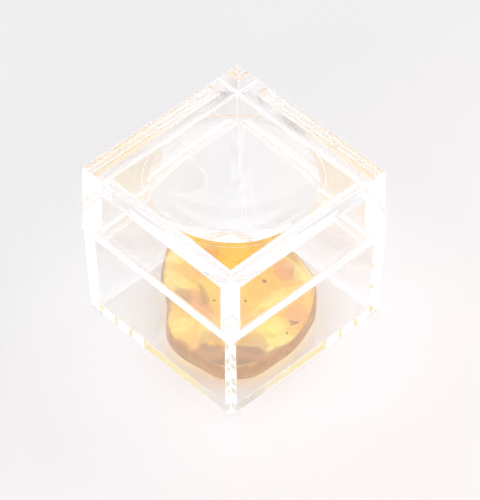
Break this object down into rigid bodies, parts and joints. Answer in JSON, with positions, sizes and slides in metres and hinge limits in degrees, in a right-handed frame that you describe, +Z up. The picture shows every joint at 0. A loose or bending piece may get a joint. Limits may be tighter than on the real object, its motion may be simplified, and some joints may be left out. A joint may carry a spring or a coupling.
{
  "type": "insects in amber in a clear magnifier box",
  "caption": "Flat polished amber with small insects sealed in it, lying on the floor of a square clear plastic box whose slip-on lid has a round lens moulded in.",
  "frame": {"origin": "centre of the box's flat foot, at the surface it stands on", "axes": "+Z up through the lens, X and Y across the flats of the square box"},
  "size_m": [0.028, 0.028, 0.0262],
  "materials": {
    "clear_plastic": "crystal-clear polystyrene, glossy",
    "amber": "polished, see-through",
    "insect": "dry chitin, satin",
    "debris": "dry, matt"
  },
  "bodies": {
    "root": {"box_base": "clear_plastic", "box_lid": "clear_plastic", "amber_lower": "amber", "amber_upper": "amber", "gnat": "insect", "beetle": "insect", "crumb_1": "debris", "crumb_2": "debris", "crumb_3": "debris"}
  },
  "joints": []
}
